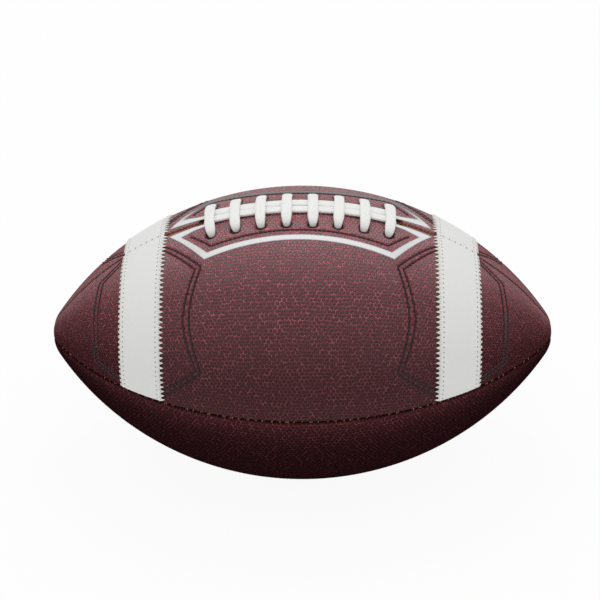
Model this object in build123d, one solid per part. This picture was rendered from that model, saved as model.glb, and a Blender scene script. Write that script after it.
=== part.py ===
import os
from math import atan2, cos, degrees, pi, radians, sin, sqrt

from build123d import *

# The ball lies along X with its lacing on top, and the middle of its long axis is the origin.

# The whole ball
ball_length = 286.0             # tip to tip
ball_diameter = 168.0           # across the belly
nose_share = 0.26               # radius of a nose as a share of the ball's radius
panel_middle = 45.0             # turn, in degrees, from a seam to the middle of a panel

# Cover panels, with their edges turned inwards at the seams
cover_thickness = 2.0
seam_roll = 2.2                 # how far a panel edge rounds over into its seam
seam_break = 8.0                # slope, in degrees, where the rounding leaves the panel's face
seam_edge_thickness = 1.4       # thinned edge that is turned inwards
seam_turn_in = 5.0              # depth of the turned edge below the outer surface
seam_gap = 0.1                  # left between the edges of two panels
lining_thickness = 0.8
layer_gap = 0.1                 # between one layer and the next

# Stripes, sewn on the two upper panels
stripe_share = 0.521            # place of a stripe's inner edge as a share of the ball's half length
stripe_width = 23.3             # measured along the long axis
stripe_thickness = 0.7
stripe_bond = 0.05              # film of adhesive under a stripe

# Backing patches inside, one behind each stripe
patch_thickness = 0.5
patch_reach_in = 21.5           # from the stripe's inner edge to the inner corners
patch_reach_out = 13.0          # from the stripe's outer edge to the outer corners
patch_waist = 5.4               # how far the inner side draws back at its middle
patch_bulge = 1.2               # how far the outer side swells at its middle
patch_inner_share = 0.326       # heights of the corners as shares of the ball's radius
patch_outer_share = 0.26
patch_inner_end_share = 0.476
patch_outer_end_share = 0.417

# Lacing
bar_count = 8
lace_pitch_share = 0.0986       # from one cross bar to the next, as a share of the lace bed's length
lace_width = 5.7
lace_thickness = 2.2
lace_edge_share = 0.42          # edge rounding as a share of the thickness
lace_bend = 3.0                 # bend of a bar's centre line into its hole
lace_seat = 0.1                 # between a strand and what it lies on
hole_offset = 14.4              # from the seam to a lace hole
hole_clearance = 0.5            # round the lace in its hole
bar_knee = 0.2                  # how far a bar's outer bend lies below the level of the lace bed
bed_depth = 0.3                 # how far the lacing flattens the ball
bed_share = 0.5                 # length of the lace bed as a share of the ball's length

# Facings and tongue under the lacing
facing_thickness = 1.2
facing_width = 24.0
facing_share = 0.951            # length along the seam as a share of the lace bed's length
facing_corner_share = 0.7       # length along the outer edge, likewise
tongue_thickness = 1.3
tongue_half_width = 21.0        # on its loose side
tongue_share = 0.993            # length as a share of the lace bed's length
tongue_hem = 3.0                # sewn border that rises to the lining
tongue_hem_share = 0.9          # length of the hem as a share of the facing's outer edge

# Bladder
bladder_wall = 0.9
bladder_gap = 0.1

# Inflation valve, in the back lower panel
valve_radius = 5.0
valve_length = 16.0
valve_sink = 0.4                # below the face of the cover
valve_clearance = 0.2
valve_flange_radius = 12.0
plug_radius = 3.0
plug_length = 13.0
plug_head_radius = 3.9
plug_head_thickness = 1.0
plug_clearance = 0.05
needle_radius = 1.1
needle_depth = 9.0
needle_lead_in = 0.5
plug_slit = 0.3
plug_taper = 1.0

# Sizes that follow from the ones above
ball_radius = ball_diameter / 2
half_length = ball_length / 2
nose_radius = ball_radius * nose_share
nose_place = half_length - nose_radius
belly_radius = (nose_place**2 + ball_radius**2 - nose_radius**2) / (2 * (ball_radius - nose_radius))
belly_drop = belly_radius - ball_radius
nose_turn = atan2(nose_place, belly_drop)

lining_outer = cover_thickness + layer_gap
lining_inner = lining_outer + lining_thickness
backing_outer = lining_inner + layer_gap
patch_inner = backing_outer + patch_thickness
facing_inner = backing_outer + facing_thickness
bladder_outer = patch_inner + bladder_gap
bladder_inner = bladder_outer + bladder_wall
panel_margin = seam_gap / 2
edge_margin = panel_margin + seam_edge_thickness
layer_margin = edge_margin + layer_gap
fin_margin = edge_margin + bladder_gap
fin_depth = seam_turn_in + bladder_gap

bed_half_length = half_length * bed_share
bed_end = sqrt(belly_radius**2 - bed_half_length**2) - belly_drop
bed_top = ball_radius - bed_depth
bed_rise = bed_top - bed_end
bed_radius = (bed_half_length**2 + bed_rise**2) / (2 * bed_rise)
bed_axis_height = bed_top - bed_radius
bed_axis = Axis((0, 0, bed_axis_height), (0, 1, 0))

stripe_inner = half_length * stripe_share
stripe_outer = stripe_inner + stripe_width
lace_pitch = 2 * bed_half_length * lace_pitch_share
facing_half_length = bed_half_length * facing_share
facing_corner = bed_half_length * facing_corner_share
tongue_half_length = bed_half_length * tongue_share
valve_turn = -3 * panel_middle


def profile_radius(along, inset):
    # radius of a layer of the ball at a place along its belly
    return sqrt((belly_radius - inset)**2 - along**2) - belly_drop


def bed_level(turn, across, inset):
    # height over the lace bed where a layer of the ball is met, beside the seam
    low = bed_radius - ball_radius / 2
    high = bed_radius + ball_radius / 2
    for step in range(40):
        reach = (low + high) / 2
        up = bed_axis_height + reach * cos(turn)
        if up**2 + across**2 < profile_radius(reach * sin(turn), inset)**2:
            low = reach
        else:
            high = reach
    return low - bed_radius


def on_bed(turn):
    # place on the lace bed, with +Z out of the ball and +X along the lacing
    return Pos(0, 0, bed_axis_height) * Rot(0, degrees(turn), 0) * Pos(0, 0, bed_radius)


def belly_point(turn, inset):
    reach = belly_radius - inset
    return (reach * sin(turn), reach * cos(turn) - belly_drop)


def nose_point(side, turn, inset):
    reach = nose_radius - inset
    return (side * (nose_place + reach * sin(turn)), reach * cos(turn))


def meridian(inset):
    # outline of the upper half: nose, belly, nose
    nose_middle = (nose_turn + pi / 2) / 2
    left_tip = nose_point(-1, pi / 2, inset)
    right_tip = nose_point(1, pi / 2, inset)
    left_join = belly_point(-nose_turn, inset)
    right_join = belly_point(nose_turn, inset)
    left_nose = ThreePointArc(left_tip, nose_point(-1, nose_middle, inset), left_join)
    belly = ThreePointArc(left_join, belly_point(0, inset), right_join)
    right_nose = ThreePointArc(right_join, nose_point(1, nose_middle, inset), right_tip)
    return [left_nose, belly, right_nose]


def ball_layer(inset):
    # the ball drawn in by an inset, with the lace bed flattened on top
    edges = meridian(inset)
    closing = Line(edges[2] @ 1, edges[0] @ 0)
    body = Rot(panel_middle, 0, 0) * revolve(Plane.XZ * make_face(edges + [closing]), Axis.X, 360)
    lid = Box(ball_length, ball_diameter, ball_diameter, align=(Align.CENTER, Align.CENTER, Align.MIN))
    bed = Pos(0, 0, bed_axis_height) * Rot(90, 0, 0) * Cylinder(bed_radius - inset, ball_length)
    return body - (lid - bed)


def seam_valleys(inset):
    # rounded grooves along the four seams, carried from tip to tip
    round_over = seam_roll - inset
    centre = half_length - seam_roll
    floor = centre + sqrt(round_over**2 - seam_roll**2)
    brim = half_length - inset + seam_roll
    floor_turn = atan2(floor - centre, -seam_roll)
    rim_turn = pi / 2 + radians(seam_break)
    middle_turn = (floor_turn + rim_turn) / 2
    middle = (seam_roll + round_over * cos(middle_turn), centre + round_over * sin(middle_turn))
    rim = (seam_roll + round_over * cos(rim_turn), centre + round_over * sin(rim_turn))
    lip = (rim[0] + seam_roll * sin(rim_turn), rim[1] - seam_roll * cos(rim_turn))
    right_curve = ThreePointArc((0, floor), middle, rim)
    left_curve = ThreePointArc((-rim[0], rim[1]), (-middle[0], middle[1]), (0, floor))
    rim_line = Polyline(rim, lip, (lip[0], brim), (-lip[0], brim), (-lip[0], lip[1]), (-rim[0], rim[1]))
    section = Plane(origin=(0, 0, 0), x_dir=(0, 1, 0), z_dir=(0, 0, 1)) * make_face(
        [right_curve, rim_line, left_curve])
    path = Plane.XZ * Wire(meridian(0))
    top = sweep(section, path)
    return [Rot(turn, 0, 0) * top for turn in (0, 90, 180, 270)]


def with_valleys(body, inset):
    for valley in seam_valleys(inset):
        body = body - valley
    return body


def quarter(up, margin):
    # the quarter of space that a front panel fills, above or below the side seams
    room = Box(ball_length * 2, ball_diameter, ball_diameter, align=(Align.CENTER, Align.MAX, Align.MIN))
    room = Pos(0, -margin, margin) * room
    if up < 0:
        room = mirror(room, Plane.XY)
    return room


# Layers of the ball that several pieces share
cover_ball = ball_layer(0)
cover_inner_ball = ball_layer(cover_thickness)
turned_edge_ball = ball_layer(seam_turn_in)
lining_outer_ball = ball_layer(lining_outer)
lining_inner_ball = ball_layer(lining_inner)
backing_outer_ball = ball_layer(backing_outer)
patch_inner_ball = ball_layer(patch_inner)
facing_inner_ball = ball_layer(facing_inner)

# Lacing: one lace that runs bar by bar, then back along the seam as two strands
bar_step = lace_pitch / bed_radius
bar_turns = [bar_step * (number - (bar_count - 1) / 2) for number in range(bar_count)]
last_turn = bar_turns[-1]
lace_edge = lace_thickness * lace_edge_share
lace_section = RectangleRounded(lace_width, lace_thickness, lace_edge)
strand_middle = lace_seat + lace_thickness / 2
bar_crest = 2 * lace_seat + lace_thickness + lace_thickness / 2
strand_offset = lace_seat + lace_width / 2
strand_edge = lace_seat + lace_width
run_top = bed_level(last_turn, hole_offset + lace_width / 2, facing_inner) - lace_seat
run_middle = run_top - lace_thickness / 2
run_bottom = run_top - lace_thickness

bar_path = FilletPolyline(
    (-hole_offset, run_middle),
    (-hole_offset, -bar_knee),
    (-strand_edge, bar_crest),
    (strand_edge, bar_crest),
    (hole_offset, -bar_knee),
    (hole_offset, run_middle),
    radius=lace_bend,
)
bar_start = Plane(origin=(0, -hole_offset, run_middle), x_dir=(1, 0, 0), z_dir=(0, 0, 1))
bar = sweep(bar_start * lace_section, Plane.YZ * bar_path)

lace_pieces = [on_bed(turn) * bar for turn in bar_turns]

# flat runs inside, from one bar to the next on alternate sides
lace_half_turn = lace_width / 2 / bed_radius
for number in range(bar_count - 1):
    side = 1 if number % 2 == 0 else -1
    start = on_bed(bar_turns[number] - lace_half_turn)
    run_place = Plane.YZ * Pos(side * hole_offset, run_middle)
    run_face = start * (run_place * Rectangle(lace_width, lace_thickness))
    run_arc = degrees(bar_step + 2 * lace_half_turn)
    lace_pieces.append(revolve(run_face, bed_axis, run_arc))

# strands on the bed, each bent down through the cover at both ends
knee_radius = lace_thickness
strand_end_turn = last_turn + lace_half_turn - knee_radius / bed_radius
knee_floor = strand_middle - knee_radius
for side in (-1, 1):
    flat_place = Plane.YZ * Pos(side * strand_offset, strand_middle)
    flat_face = flat_place * lace_section
    strand = revolve(on_bed(-strand_end_turn) * flat_face, bed_axis, degrees(2 * strand_end_turn))
    lace_pieces.append(strand)
    for end in (-1, 1):
        knee_axis = Axis((0, 0, knee_floor), (0, end, 0))
        knee = revolve(flat_face, knee_axis, 90)
        leg_start = Plane(origin=(end * knee_radius, side * strand_offset, knee_floor),
                          x_dir=(0, 1, 0), z_dir=(0, 0, -1))
        leg = extrude(leg_start * lace_section, knee_floor - run_bottom)
        lace_pieces.append(on_bed(end * strand_end_turn) * knee)
        lace_pieces.append(on_bed(end * strand_end_turn) * leg)

# links inside: last bar to the first strand, and from strand to strand
link_length = lace_thickness + knee_radius
link_place = Pos(knee_radius + lace_thickness / 2, 0, run_middle)
bar_link = Box(link_length, hole_offset, lace_thickness, align=(Align.MAX, Align.MAX, Align.CENTER))
strand_link = Box(lace_thickness, 2 * strand_offset, lace_thickness,
                  align=(Align.MIN, Align.CENTER, Align.CENTER))
strand_link_place = Pos(-knee_radius - lace_thickness / 2, 0, run_middle)
lace_pieces.append(on_bed(strand_end_turn) * link_place * Pos(0, -lace_seat, 0) * bar_link)
lace_pieces.append(on_bed(-strand_end_turn) * strand_link_place * strand_link)

lace = lace_pieces[0]
for piece in lace_pieces[1:]:
    lace = lace + piece

# Holes for the lacing, through cover, lining and facing
hole_radius = lace_width / 2 + hole_clearance
hole_length = 2 * (lace_thickness - run_bottom)
lace_holes = []
for turn in bar_turns:
    for side in (-1, 1):
        lace_holes.append(on_bed(turn) * Pos(0, side * hole_offset, 0) * Cylinder(hole_radius, hole_length))
end_hole_length = knee_radius + lace_thickness / 2 + hole_clearance
end_hole = Box(end_hole_length, 2 * (strand_edge + hole_clearance), hole_length)
for end in (-1, 1):
    lace_holes.append(on_bed(end * strand_end_turn) * Pos(end * end_hole_length / 2, 0, 0) * end_hole)

# Valve, built along its own axis and turned into the back lower panel
valve_place = Rot(valve_turn, 0, 0)
valve_top = ball_radius - valve_sink
top_down = (Align.CENTER, Align.CENTER, Align.MAX)
valve_stem = valve_place * Pos(0, 0, valve_top) * Cylinder(valve_radius, valve_length, align=top_down)
flange_disc = Cylinder(valve_flange_radius, valve_length, align=top_down)
flange_core = valve_place * Pos(0, 0, ball_radius) * flange_disc
valve_flange = flange_core & (backing_outer_ball - patch_inner_ball)
plug_bore = Cylinder(plug_radius + plug_clearance, valve_length, align=top_down)
head_depth = plug_head_thickness + plug_clearance
head_bore = Cylinder(plug_head_radius + plug_clearance, head_depth, align=top_down)
valve_bore = valve_place * Pos(0, 0, valve_top) * (plug_bore + head_bore)
valve_seat = valve_stem + valve_flange - valve_bore

plug_body = Cylinder(plug_radius, plug_length, align=top_down)
plug_foot = plug_body.edges().sort_by(Axis.Z)[0]
plug_body = chamfer(plug_foot, plug_taper)
plug_head = Cylinder(plug_head_radius, plug_head_thickness, align=top_down)
needle_hole = Cylinder(needle_radius, needle_depth, align=top_down)
lead_in = Cone(needle_radius, needle_radius + needle_lead_in, needle_lead_in, align=top_down)
slit = Pos(0, 0, -needle_depth) * Box(plug_slit, 2 * needle_radius, plug_length, align=top_down)
valve_plug = valve_place * Pos(0, 0, valve_top) * (plug_body + plug_head - needle_hole - lead_in - slit)

cover_valve_hole = valve_place * Pos(0, 0, ball_radius / 2) * Cylinder(
    valve_radius + valve_clearance, ball_radius, align=(Align.CENTER, Align.CENTER, Align.MIN))
bladder_valve_hole = valve_place * Pos(0, 0, ball_radius / 2) * Cylinder(
    valve_radius + plug_clearance, ball_radius, align=(Align.CENTER, Align.CENTER, Align.MIN))

nodes = {"lace": lace, "valve_seat": valve_seat, "valve_plug": valve_plug}

# Cover panels and their linings: the front ones, with the back ones as their mirror images
lining_shell = lining_outer_ball - lining_inner_ball
for height, up in (("upper", 1), ("lower", -1)):
    panel = with_valleys(cover_ball & quarter(up, panel_margin), 0)
    panel = panel - (cover_inner_ball & quarter(up, edge_margin))
    panel = panel - turned_edge_ball
    lining = lining_shell & quarter(up, layer_margin)
    if up > 0:
        for hole in lace_holes:
            panel = panel - hole
            lining = lining - hole
    for kind, piece in (("panel", panel), ("lining", lining)):
        nodes[kind + "_front_" + height] = piece
        nodes[kind + "_back_" + height] = mirror(piece, Plane.XZ)
for kind in ("panel", "lining"):
    nodes[kind + "_back_lower"] = nodes[kind + "_back_lower"] - cover_valve_hole

# Stripes on the upper panels, and a backing patch inside behind each one
stripe_slab = Pos(stripe_inner, 0, 0) * Box(
    stripe_width, ball_diameter * 2, ball_diameter * 2, align=(Align.MIN, Align.CENTER, Align.CENTER))
stripe_room = stripe_slab & quarter(1, panel_margin)
stripe_face = -stripe_bond - stripe_thickness
front_stripe = with_valleys(ball_layer(stripe_face) & stripe_room, stripe_face)
front_stripe = front_stripe - with_valleys(ball_layer(-stripe_bond) & stripe_room, -stripe_bond)

patch_in = stripe_inner - patch_reach_in
patch_out = stripe_outer + patch_reach_out
patch_outline = Polyline(
    (stripe_inner, ball_radius * patch_inner_end_share),
    (patch_in, ball_radius * patch_inner_share),
    (patch_in + patch_waist, 0),
    (patch_in, -ball_radius * patch_inner_share),
    (stripe_inner, -ball_radius * patch_inner_end_share),
    (stripe_outer, -ball_radius * patch_outer_end_share),
    (patch_out, -ball_radius * patch_outer_share),
    (patch_out + patch_bulge, 0),
    (patch_out, ball_radius * patch_outer_share),
    (stripe_outer, ball_radius * patch_outer_end_share),
    close=True,
)
patch_plane = Plane(origin=(0, 0, 0), x_dir=(1, 0, 0), z_dir=(0, -1, 1))
patch_prism = extrude(patch_plane * make_face(patch_outline), ball_diameter)
patch_band = (backing_outer_ball - patch_inner_ball) & patch_prism
front_patch = patch_band & quarter(1, layer_margin)
for kind, front_piece in (("stripe", front_stripe), ("backing", front_patch)):
    back_piece = mirror(front_piece, Plane.XZ)
    nodes[kind + "_front_right"] = front_piece
    nodes[kind + "_front_left"] = mirror(front_piece, Plane.YZ)
    nodes[kind + "_back_right"] = back_piece
    nodes[kind + "_back_left"] = mirror(back_piece, Plane.YZ)

# Facings: strips that carry the lace holes on either side of the seam
facing_outline = Polyline(
    (-facing_half_length, 0),
    (-facing_corner, -facing_width),
    (facing_corner, -facing_width),
    (facing_half_length, 0),
    close=True,
)
facing_prism = extrude(make_face(facing_outline), ball_diameter)
front_facing = (backing_outer_ball - facing_inner_ball) & facing_prism & quarter(1, layer_margin)
for hole in lace_holes:
    front_facing = front_facing - hole
nodes["facing_front"] = front_facing
nodes["facing_back"] = mirror(front_facing, Plane.XZ)


def bed_sector(side_from, side_to, low, high, half_turn):
    # block that follows the lace bed, between two places across it and two heights above it
    middle = Pos((side_from + side_to) / 2, (low + high) / 2)
    section = Plane.YZ * middle * Rectangle(side_to - side_from, high - low)
    return revolve(on_bed(-half_turn) * section, bed_axis, degrees(2 * half_turn))


# Tongue: pad between the lace and the bladder, sewn to the back lining along its hem
tongue_top = run_bottom - lace_seat
tongue_bottom = tongue_top - tongue_thickness
tongue_half_turn = tongue_half_length / bed_radius
hem_half_turn = facing_corner * tongue_hem_share / bed_radius
hem_start = facing_width + layer_gap
hem_end = hem_start + tongue_hem
tongue_sheet = bed_sector(-tongue_half_width, hem_end, tongue_bottom, tongue_top, tongue_half_turn)
tongue_rise = bed_sector(hem_start, hem_end, tongue_bottom, 0, hem_half_turn)
nodes["lace_tongue"] = (tongue_sheet & ball_layer(bladder_outer)) + (tongue_rise & backing_outer_ball)


def bladder_form(inset, growth):
    # the ball less the room for the turned seams, the tongue and the lacing
    body = ball_layer(inset)
    fin_half = fin_margin + growth
    fins = Box(ball_length, 2 * fin_half, ball_diameter) + Box(ball_length, ball_diameter, 2 * fin_half)
    fins = fins - ball_layer(fin_depth + growth)
    trough_side = hem_end + bladder_gap + growth
    trough_floor = tongue_bottom - bladder_gap - growth
    trough_turn = tongue_half_turn + (bladder_gap + growth) / bed_radius
    trough = bed_sector(-trough_side, trough_side, trough_floor, lace_thickness, trough_turn)
    return body - fins - trough


bladder = bladder_form(bladder_outer, 0) - bladder_form(bladder_inner, bladder_wall)
nodes["bladder"] = bladder - bladder_valve_hole

os.makedirs("parts", exist_ok=True)
for name, shape in nodes.items():
    export_step(shape, "parts/" + name + ".step")
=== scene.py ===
import math

import bpy
import numpy as np
from mathutils import Matrix, Vector


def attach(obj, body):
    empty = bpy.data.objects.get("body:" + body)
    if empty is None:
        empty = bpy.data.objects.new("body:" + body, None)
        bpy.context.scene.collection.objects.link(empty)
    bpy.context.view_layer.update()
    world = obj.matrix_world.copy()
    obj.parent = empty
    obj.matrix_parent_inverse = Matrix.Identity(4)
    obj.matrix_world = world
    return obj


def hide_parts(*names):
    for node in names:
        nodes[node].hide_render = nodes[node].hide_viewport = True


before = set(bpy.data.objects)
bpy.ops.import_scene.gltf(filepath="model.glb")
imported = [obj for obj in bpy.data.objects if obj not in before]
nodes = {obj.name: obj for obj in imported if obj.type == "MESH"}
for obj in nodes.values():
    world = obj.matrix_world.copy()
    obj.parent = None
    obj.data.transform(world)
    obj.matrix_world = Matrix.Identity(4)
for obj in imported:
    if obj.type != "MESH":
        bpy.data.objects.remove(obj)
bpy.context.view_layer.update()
randomSource = np.random.default_rng(seed=11)
mm = 0.001
quarterTurn = math.pi / 2
tiny = 1e-6                     # keeps a division safe where a size runs out
print("frame loaded:", len(nodes), "nodes")


def hexColour(code):
    # sRGB hex to linear light
    parts = np.array([int(code[place:place + 2], 16) for place in (1, 3, 5)]) / 255
    linear = np.where(parts <= 0.04045, parts / 12.92, ((parts + 0.055) / 1.055) ** 2.4)
    return (*linear.tolist(), 1.0)


def setNode(node, settings, links):
    # settings are properties or unlinked sockets, where a hex code stands for a colour; links feed sockets
    # from other sockets, or from nodes, of which the first output in use is taken
    for name, value in settings.items():
        if isinstance(value, str) and value.startswith("#"):
            value = hexColour(value)
        if isinstance(name, int) or name in node.inputs:
            node.inputs[name].default_value = value
        else:
            setattr(node, name, value)
    for name, source in links.items():
        if isinstance(source, bpy.types.Node):
            source = next(socket for socket in source.outputs if socket.enabled)
        node.id_data.links.new(source, node.inputs[name])
    return node


def addNode(tree, kind, settings=None, links=None):
    return setNode(tree.nodes.new("ShaderNode" + kind), settings or {}, links or {})


def startMaterial(name, sockets):
    material = bpy.data.materials.new(name)
    material.use_nodes = True
    shader = setNode(material.node_tree.nodes["Principled BSDF"], sockets, {})
    return material, material.node_tree, shader


def tonedMaterial(name, sockets, colours, grain, detail, relief=None):
    # a finish whose tone wanders between two colours in noise of a grain in metres; relief is the strength
    # and the height of the same noise as bumps
    material, tree, shader = startMaterial(name, sockets)
    where = addNode(tree, "TexCoord")
    noise = addNode(tree, "TexNoise", {"Scale": 1 / grain, "Detail": detail},
                    {"Vector": where.outputs["Object"]})
    tone = addNode(tree, "Mix", {"data_type": "RGBA", 6: colours[0], 7: colours[1]}, {0: noise})
    setNode(shader, {}, {"Base Color": tone})
    if relief:
        bump = addNode(tree, "Bump", {"Strength": relief[0], "Distance": relief[1]}, {"Height": noise})
        setNode(shader, {}, {"Normal": bump})
    return material, tree, shader, tone


def gridFaces(rows, columns, closed=False):
    # quads between neighbouring points of a grid, the last column joined to the first where it is closed
    row = np.arange(rows - 1)[:, None]
    column = np.arange(columns if closed else columns - 1)[None, :]
    beside = (column + 1) % columns
    corners = [row * columns + column, row * columns + beside,
               (row + 1) * columns + beside, (row + 1) * columns + column]
    return np.stack(corners, -1).reshape(-1, 4)


def tubeFaces(rows, columns):
    # quads of a closed tube with a flat cap on each end
    ring = np.arange(columns)
    caps = [ring[::-1].tolist(), (ring + (rows - 1) * columns).tolist()]
    return gridFaces(rows, columns, True).tolist() + caps


def addPiece(name, points, faces, material, hides=()):
    # a mesh piece in metres, turned so that its faces point outwards (its signed volume is positive)
    mesh = bpy.data.meshes.new(name)
    mesh.from_pydata((points.reshape(-1, 3) * mm).tolist(), [], faces)
    mesh.calc_loop_triangles()
    corners = np.empty(len(mesh.loop_triangles) * 3, np.int32)
    mesh.loop_triangles.foreach_get("vertices", corners)
    a, b, c = np.moveaxis(points.reshape(-1, 3)[corners.reshape(-1, 3)], 1, 0)
    if np.einsum("ij,ij->i", a, np.cross(b, c)).sum() < 0:
        mesh.flip_normals()
    mesh.polygons.foreach_set("use_smooth", np.ones(len(mesh.polygons), bool))
    mesh.materials.append(material)
    piece = bpy.data.objects.new(name, mesh)
    bpy.context.scene.collection.objects.link(piece)
    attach(piece, "root")
    if hides:
        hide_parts(*hides)
    return piece


def setAttribute(piece, name, kind, field, values):
    attribute = piece.data.attributes.new(name, kind, "POINT")
    attribute.data.foreach_set(field, np.ascontiguousarray(values, np.float32).ravel())


def unitWay(vectors):
    return vectors / np.linalg.norm(vectors, axis=-1, keepdims=True)


def runLength(points):
    # length of a path up to each of its points
    return np.concatenate([[0], np.cumsum(np.linalg.norm(np.diff(points, axis=0), axis=1))])


# The ball: a belly arc and two tangent nose arcs, in millimetres
ballForm = {
    "halfLength": 143.0,
    "radius": 84.0,
    "noseShare": 0.26,
    "bedHalfLength": 71.5,      # flattened bed under the lacing
    "bedDepth": 0.3,
    "bedBlend": 0.35,           # softness of the bed's edge
}
ballRadius = ballForm["radius"]
noseRadius = ballRadius * ballForm["noseShare"]
nosePlace = ballForm["halfLength"] - noseRadius
bellyRadius = (nosePlace ** 2 + ballRadius ** 2 - noseRadius ** 2) / (2 * (ballRadius - noseRadius))
bellyDrop = bellyRadius - ballRadius
noseTurn = math.atan2(nosePlace, bellyDrop)
bellyArc = bellyRadius * noseTurn
halfArc = bellyArc + noseRadius * (quarterTurn - noseTurn)
bedEnd = math.sqrt(bellyRadius ** 2 - ballForm["bedHalfLength"] ** 2) - bellyDrop
bedRise = ballRadius - ballForm["bedDepth"] - bedEnd
bedRadius = (ballForm["bedHalfLength"] ** 2 + bedRise ** 2) / (2 * bedRise)
bedAxisHeight = ballRadius - ballForm["bedDepth"] - bedRadius


def meridian(arc):
    # belly: place = R sin a, radius = R cos a - drop; nose: place = P + n sin a, radius = n cos a
    size = np.abs(arc)
    onNose = size > bellyArc
    angle = np.where(onNose, noseTurn + (size - bellyArc) / noseRadius, size / bellyRadius)
    reach = np.where(onNose, noseRadius, bellyRadius)
    side = np.sign(arc)
    along = side * (np.where(onNose, nosePlace, 0) + reach * np.sin(angle))
    radius = reach * np.cos(angle) - np.where(onNose, 0, bellyDrop)
    return along, radius, side * np.sin(angle), np.cos(angle)


def arcAt(along):
    # arc from the middle of the ball to a place along its axis, on the belly
    return bellyRadius * np.arcsin(np.asarray(along, float) / bellyRadius)


def turnAt(along, fromLace):
    # turn of a point that lies so many millimetres round the ball from the lace seam
    return quarterTurn - np.asarray(fromLace, float) / meridian(arcAt(along))[1]


def shellPoint(arc, turn, depth):
    # point at an arc along the ball, a turn from the front seam and a depth below the skin; the lace bed
    # is the soft minimum of the point's reach from the bed's axis and the bed's own radius
    along, radius, outAlong, outRound = meridian(arc)
    x = along - depth * outAlong
    ring = radius - depth * outRound
    y = -ring * np.cos(turn)
    z = ring * np.sin(turn)
    up = z - bedAxisHeight
    reach = np.hypot(x, up)
    over = (reach - (bedRadius - depth)) / ballForm["bedBlend"]
    pull = 1 - ballForm["bedBlend"] * np.logaddexp(0, over) / reach
    return np.stack([x * pull, y, bedAxisHeight + up * pull], -1)


def bedPoint(along, across, height):
    # point over the lace bed: a length along it, a place across it and a height above it
    angle = along / bedRadius
    reach = bedRadius + height
    return np.stack([reach * np.sin(angle), across, bedAxisHeight + reach * np.cos(angle)], -1)


# Lacing measures, which the panels need for their holes
lacing = {
    "bars": 8,
    "pitch": 14.1,
    "holeOffset": 14.4,
    "holeRadius": 3.5,
    "holeDepth": 1.75,
    "holePower": 0.6,           # below 1 makes the pits steep at the rim
    "holeShade": 0.6,           # depth at which a pit is painted fully dark, painted shade in the lace holes
    "slotPlace": 54.3,          # where the strands dive into the seam
    "slotReach": (2.6, 6.2),
}
barPlaces = lacing["pitch"] * (np.arange(lacing["bars"]) - (lacing["bars"] - 1) / 2)

# Stitch rows round a stripe and along the lacing, as places along the ball and turns in degrees
rowForm = {
    "innerRows": (((76.0, 81.6), (53.0, 63.5), 59.2, (52.8, 18.6), (76.5, 2.8)),
                  ((77.0, 79.8), (56.2, 62.6), 62.4, (55.4, 19.2), (77.0, 5.8))),
    "outerRows": (((97.6, 88.4), (112.6, 76.0), 114.8, (113.8, 11.6), (97.6, 3.2)),
                  ((97.6, 84.6), (110.2, 74.2), 112.4, (111.4, 13.6), (97.6, 6.4))),
    "waistPower": 1.6,          # above 2 is flat in the middle, towards 1 is a plain vee
    "waistSteps": 17,
    "facingEnd": (60.0, 11.0),  # place along the ball, and millimetres from the lace seam
    "facingCorner": (48.0, 23.0),
    "facingMiddle": 19.0,
    "facingSteps": 21,
    "channelDepth": 0.4,
    "channelWidth": 0.9,
    "pressWidth": 1.2,          # how far from a row the pebbles are pressed flat
}


def patchRow(row):
    # straight arm, side whose place is middle + (corner - middle) |t|^p for t from -1 to 1, straight arm
    first, upper, middle, lower, last = row
    share = np.linspace(-1, 1, rowForm["waistSteps"])
    corner = np.where(share < 0, upper[0], lower[0])
    along = middle + (corner - middle) * np.abs(share) ** rowForm["waistPower"]
    turn = np.interp(share, (-1, 1), (upper[1], lower[1]))
    along = np.concatenate([[first[0]], along, [last[0]]])
    turn = np.concatenate([[first[1]], turn, [last[1]]])
    return arcAt(along), np.radians(turn)


def facingRow():
    # arm, long side whose distance from the seam is middle + (corner - middle) t^2, arm
    (endPlace, endGap), (cornerPlace, cornerGap) = rowForm["facingEnd"], rowForm["facingCorner"]
    share = np.linspace(-1, 1, rowForm["facingSteps"])
    side = rowForm["facingMiddle"] + (cornerGap - rowForm["facingMiddle"]) * share ** 2
    along = np.concatenate([[-endPlace], cornerPlace * share, [endPlace]])
    return arcAt(along), turnAt(along, np.concatenate([[endGap], side, [endGap]]))


frontRows = [facingRow()]
for row in rowForm["innerRows"] + rowForm["outerRows"]:
    rowArc, rowTurn = patchRow(row)
    frontRows += [(rowArc, rowTurn), (-rowArc, rowTurn)]
stitchRows = frontRows + [(rowArc, math.pi - rowTurn) for rowArc, rowTurn in frontRows]

# Stripes: strips of thin white leather, sewn on flat
stripeForm = {
    "inner": 75.2,
    "width": 23.1,
    "lift": 0.75,
    "sink": 0.25,               # how far the underside is bedded in the cover
    "edgeRound": 0.45,
    "across": 44,
    "underStep": 3,             # the flat underside has every third of the top's points
    "around": 180,
    "crowd": 0.06,              # how the rings draw together at both seams
    "seamRoll": 0.7,            # the stripes nearly close the lace seam
    "seamCalm": 0.75,           # and take up most of the cover's soft drop there
    "lowerTurn": 0.025,         # where the strip's end is caught in the lower seam, in radians
    "laceTurn": 0.001,          # and how near it comes to the lace seam
}
stripeOuter = stripeForm["inner"] + stripeForm["width"]
stripeMiddle = stripeForm["inner"] + stripeForm["width"] / 2

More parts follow.
